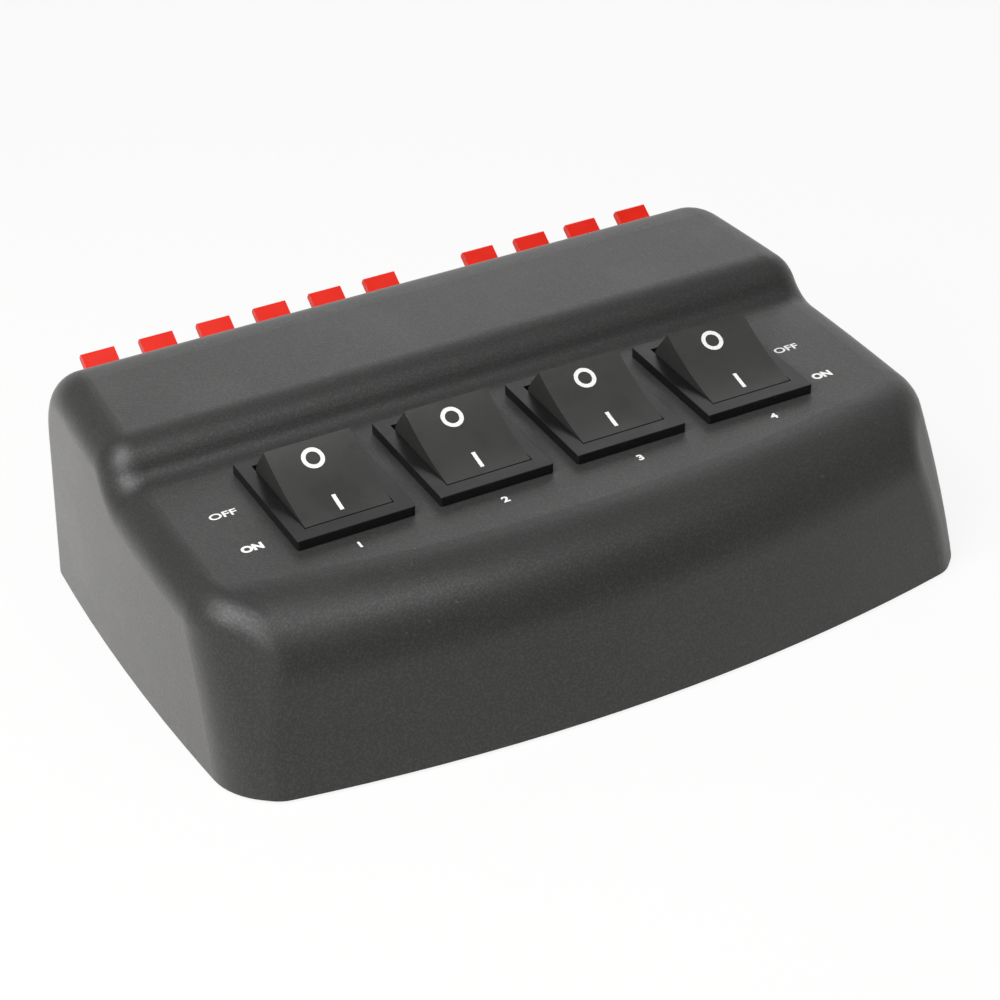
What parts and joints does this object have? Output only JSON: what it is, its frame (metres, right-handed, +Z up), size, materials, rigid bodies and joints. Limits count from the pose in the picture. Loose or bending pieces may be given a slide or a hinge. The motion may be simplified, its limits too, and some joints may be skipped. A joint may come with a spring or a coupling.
{
  "type": "speaker selector switch",
  "caption": "Sloped dark plastic desktop box with a row of rocker switches on its panel and sprung wire clips in its rear wall, for switching loudspeaker pairs.",
  "frame": {"origin": "on the table under the middle of the bounding box", "axes": "+X to the right seen from the front, +Y to the rear where the wire clips are, +Z up"},
  "size_m": [0.1714, 0.1256, 0.0512],
  "materials": {
    "case_plastic": "fine moulded texture, dark charcoal",
    "base_plastic": "fine moulded texture",
    "screw_steel": "zinc plated",
    "foot_rubber": "matt rubber",
    "switch_plastic": "smooth satin",
    "rocker_plastic": "smooth satin, white printed marks",
    "plunger_nylon": "natural nylon",
    "spring_steel": "drawn spring steel",
    "contact_brass": "stamped brass, dull plate",
    "block_plastic": "smooth moulded",
    "red_plastic": "glossy red",
    "black_plastic": "glossy black",
    "board_laminate": "brown phenolic laminate",
    "feed_insulation": "PVC insulation",
    "speaker_insulation": "PVC insulation"
  },
  "bodies": {
    "case": {"top_shell": "case_plastic", "base_plate": "base_plastic", "case_screws": "screw_steel", "rubber_feet": "foot_rubber", "terminal_board": "board_laminate", "board_screws": "screw_steel", "feed_wires": "feed_insulation", "speaker_wires": "speaker_insulation", "clip_block_left": "block_plastic", "contact_tabs_left": "contact_brass", "leaf_springs_left": "spring_steel", "clip_block_right": "block_plastic", "contact_tabs_right": "contact_brass", "leaf_springs_right": "spring_steel", "switch_body_1": "switch_plastic", "switch_lugs_1": "contact_brass", "switch_body_2": "switch_plastic", "switch_lugs_2": "contact_brass", "switch_body_3": "switch_plastic", "switch_lugs_3": "contact_brass", "switch_body_4": "switch_plastic", "switch_lugs_4": "contact_brass"},
    "rocker_1": {"rocker_1": "rocker_plastic", "plungers_1": "plunger_nylon", "plunger_springs_1": "spring_steel"},
    "seesaws_1": {"contact_seesaws_1": "contact_brass"},
    "rocker_2": {"rocker_2": "rocker_plastic", "plungers_2": "plunger_nylon", "plunger_springs_2": "spring_steel"},
    "seesaws_2": {"contact_seesaws_2": "contact_brass"},
    "rocker_3": {"rocker_3": "rocker_plastic", "plungers_3": "plunger_nylon", "plunger_springs_3": "spring_steel"},
    "seesaws_3": {"contact_seesaws_3": "contact_brass"},
    "rocker_4": {"rocker_4": "rocker_plastic", "plungers_4": "plunger_nylon", "plunger_springs_4": "spring_steel"},
    "seesaws_4": {"contact_seesaws_4": "contact_brass"},
    "red_lever_1": {"red_lever_1": "red_plastic"},
    "black_lever_1": {"black_lever_1": "black_plastic"},
    "red_lever_2": {"red_lever_2": "red_plastic"},
    "black_lever_2": {"black_lever_2": "black_plastic"},
    "red_lever_3": {"red_lever_3": "red_plastic"},
    "black_lever_3": {"black_lever_3": "black_plastic"},
    "red_lever_4": {"red_lever_4": "red_plastic"},
    "black_lever_4": {"black_lever_4": "black_plastic"},
    "red_lever_5": {"red_lever_5": "red_plastic"},
    "black_lever_5": {"black_lever_5": "black_plastic"},
    "red_lever_6": {"red_lever_6": "red_plastic"},
    "black_lever_6": {"black_lever_6": "black_plastic"},
    "red_lever_7": {"red_lever_7": "red_plastic"},
    "black_lever_7": {"black_lever_7": "black_plastic"},
    "red_lever_8": {"red_lever_8": "red_plastic"},
    "black_lever_8": {"black_lever_8": "black_plastic"},
    "red_lever_9": {"red_lever_9": "red_plastic"},
    "black_lever_9": {"black_lever_9": "black_plastic"},
    "red_lever_10": {"red_lever_10": "red_plastic"},
    "black_lever_10": {"black_lever_10": "black_plastic"}
  },
  "joints": [
    {"name": "rocker_1_tilt", "type": "hinge", "parent": "case", "child": "rocker_1", "pos_m": [-0.04643, -0.01455, 0.03715], "axis": [-1, 0, 0], "range_deg": [0, 40]},
    {"name": "seesaw_1_tilt", "type": "hinge", "parent": "case", "child": "seesaws_1", "pos_m": [-0.04643, -0.01328, 0.02502], "axis": [1, 0, 0], "range_deg": [0, 16]},
    {"name": "rocker_2_tilt", "type": "hinge", "parent": "case", "child": "rocker_2", "pos_m": [-0.01547, -0.01455, 0.03715], "axis": [-1, 0, 0], "range_deg": [0, 40]},
    {"name": "seesaw_2_tilt", "type": "hinge", "parent": "case", "child": "seesaws_2", "pos_m": [-0.01547, -0.01328, 0.02502], "axis": [1, 0, 0], "range_deg": [0, 16]},
    {"name": "rocker_3_tilt", "type": "hinge", "parent": "case", "child": "rocker_3", "pos_m": [0.01547, -0.01455, 0.03715], "axis": [-1, 0, 0], "range_deg": [0, 40]},
    {"name": "seesaw_3_tilt", "type": "hinge", "parent": "case", "child": "seesaws_3", "pos_m": [0.01547, -0.01328, 0.02502], "axis": [1, 0, 0], "range_deg": [0, 16]},
    {"name": "rocker_4_tilt", "type": "hinge", "parent": "case", "child": "rocker_4", "pos_m": [0.04643, -0.01455, 0.03715], "axis": [-1, 0, 0], "range_deg": [0, 40]},
    {"name": "seesaw_4_tilt", "type": "hinge", "parent": "case", "child": "seesaws_4", "pos_m": [0.04643, -0.01328, 0.02502], "axis": [1, 0, 0], "range_deg": [0, 16]},
    {"name": "red_lever_1_press", "type": "hinge", "parent": "case", "child": "red_lever_1", "pos_m": [-0.0642, 0.04958, 0.0339], "axis": [-1, 0, 0], "range_deg": [0, 30], "stiffness_Nm_per_rad": 0.045, "springref_deg": -17.19, "deforming": ["leaf_springs_left"]},
    {"name": "black_lever_1_press", "type": "hinge", "parent": "case", "child": "black_lever_1", "pos_m": [-0.0642, 0.04958, 0.0179], "axis": [-1, 0, 0], "range_deg": [0, 30], "stiffness_Nm_per_rad": 0.045, "springref_deg": -17.19, "deforming": ["leaf_springs_left"]},
    {"name": "red_lever_2_press", "type": "hinge", "parent": "case", "child": "red_lever_2", "pos_m": [-0.0506, 0.04958, 0.0339], "axis": [-1, 0, 0], "range_deg": [0, 30], "stiffness_Nm_per_rad": 0.045, "springref_deg": -17.19, "deforming": ["leaf_springs_left"]},
    {"name": "black_lever_2_press", "type": "hinge", "parent": "case", "child": "black_lever_2", "pos_m": [-0.0506, 0.04958, 0.0179], "axis": [-1, 0, 0], "range_deg": [0, 30], "stiffness_Nm_per_rad": 0.045, "springref_deg": -17.19, "deforming": ["leaf_springs_left"]},
    {"name": "red_lever_3_press", "type": "hinge", "parent": "case", "child": "red_lever_3", "pos_m": [-0.037, 0.04958, 0.0339], "axis": [-1, 0, 0], "range_deg": [0, 30], "stiffness_Nm_per_rad": 0.045, "springref_deg": -17.19, "deforming": ["leaf_springs_left"]},
    {"name": "black_lever_3_press", "type": "hinge", "parent": "case", "child": "black_lever_3", "pos_m": [-0.037, 0.04958, 0.0179], "axis": [-1, 0, 0], "range_deg": [0, 30], "stiffness_Nm_per_rad": 0.045, "springref_deg": -17.19, "deforming": ["leaf_springs_left"]},
    {"name": "red_lever_4_press", "type": "hinge", "parent": "case", "child": "red_lever_4", "pos_m": [-0.0234, 0.04958, 0.0339], "axis": [-1, 0, 0], "range_deg": [0, 30], "stiffness_Nm_per_rad": 0.045, "springref_deg": -17.19, "deforming": ["leaf_springs_left"]},
    {"name": "black_lever_4_press", "type": "hinge", "parent": "case", "child": "black_lever_4", "pos_m": [-0.0234, 0.04958, 0.0179], "axis": [-1, 0, 0], "range_deg": [0, 30], "stiffness_Nm_per_rad": 0.045, "springref_deg": -17.19, "deforming": ["leaf_springs_left"]},
    {"name": "red_lever_5_press", "type": "hinge", "parent": "case", "child": "red_lever_5", "pos_m": [-0.0098, 0.04958, 0.0339], "axis": [-1, 0, 0], "range_deg": [0, 30], "stiffness_Nm_per_rad": 0.045, "springref_deg": -17.19, "deforming": ["leaf_springs_left"]},
    {"name": "black_lever_5_press", "type": "hinge", "parent": "case", "child": "black_lever_5", "pos_m": [-0.0098, 0.04958, 0.0179], "axis": [-1, 0, 0], "range_deg": [0, 30], "stiffness_Nm_per_rad": 0.045, "springref_deg": -17.19, "deforming": ["leaf_springs_left"]},
    {"name": "red_lever_6_press", "type": "hinge", "parent": "case", "child": "red_lever_6", "pos_m": [0.0038, 0.04958, 0.0339], "axis": [-1, 0, 0], "range_deg": [0, 30], "stiffness_Nm_per_rad": 0.045, "springref_deg": -17.19, "deforming": ["leaf_springs_left"]},
    {"name": "black_lever_6_press", "type": "hinge", "parent": "case", "child": "black_lever_6", "pos_m": [0.0038, 0.04958, 0.0179], "axis": [-1, 0, 0], "range_deg": [0, 30], "stiffness_Nm_per_rad": 0.045, "springref_deg": -17.19, "deforming": ["leaf_springs_left"]},
    {"name": "red_lever_7_press", "type": "hinge", "parent": "case", "child": "red_lever_7", "pos_m": [0.02915, 0.04958, 0.0339], "axis": [-1, 0, 0], "range_deg": [0, 30], "stiffness_Nm_per_rad": 0.045, "springref_deg": -17.19, "deforming": ["leaf_springs_right"]},
    {"name": "black_lever_7_press", "type": "hinge", "parent": "case", "child": "black_lever_7", "pos_m": [0.02915, 0.04958, 0.0179], "axis": [-1, 0, 0], "range_deg": [0, 30], "stiffness_Nm_per_rad": 0.045, "springref_deg": -17.19, "deforming": ["leaf_springs_right"]},
    {"name": "red_lever_8_press", "type": "hinge", "parent": "case", "child": "red_lever_8", "pos_m": [0.04275, 0.04958, 0.0339], "axis": [-1, 0, 0], "range_deg": [0, 30], "stiffness_Nm_per_rad": 0.045, "springref_deg": -17.19, "deforming": ["leaf_springs_right"]},
    {"name": "black_lever_8_press", "type": "hinge", "parent": "case", "child": "black_lever_8", "pos_m": [0.04275, 0.04958, 0.0179], "axis": [-1, 0, 0], "range_deg": [0, 30], "stiffness_Nm_per_rad": 0.045, "springref_deg": -17.19, "deforming": ["leaf_springs_right"]},
    {"name": "red_lever_9_press", "type": "hinge", "parent": "case", "child": "red_lever_9", "pos_m": [0.05635, 0.04958, 0.0339], "axis": [-1, 0, 0], "range_deg": [0, 30], "stiffness_Nm_per_rad": 0.045, "springref_deg": -17.19, "deforming": ["leaf_springs_right"]},
    {"name": "black_lever_9_press", "type": "hinge", "parent": "case", "child": "black_lever_9", "pos_m": [0.05635, 0.04958, 0.0179], "axis": [-1, 0, 0], "range_deg": [0, 30], "stiffness_Nm_per_rad": 0.045, "springref_deg": -17.19, "deforming": ["leaf_springs_right"]},
    {"name": "red_lever_10_press", "type": "hinge", "parent": "case", "child": "red_lever_10", "pos_m": [0.06995, 0.04958, 0.0339], "axis": [-1, 0, 0], "range_deg": [0, 30], "stiffness_Nm_per_rad": 0.045, "springref_deg": -17.19, "deforming": ["leaf_springs_right"]},
    {"name": "black_lever_10_press", "type": "hinge", "parent": "case", "child": "black_lever_10", "pos_m": [0.06995, 0.04958, 0.0179], "axis": [-1, 0, 0], "range_deg": [0, 30], "stiffness_Nm_per_rad": 0.045, "springref_deg": -17.19, "deforming": ["leaf_springs_right"]}
  ],
  "couplings": [
    {"joint": "seesaw_1_tilt", "follows": "rocker_1_tilt", "ratio": 0.4},
    {"joint": "seesaw_2_tilt", "follows": "rocker_2_tilt", "ratio": 0.4},
    {"joint": "seesaw_3_tilt", "follows": "rocker_3_tilt", "ratio": 0.4},
    {"joint": "seesaw_4_tilt", "follows": "rocker_4_tilt", "ratio": 0.4}
  ]
}
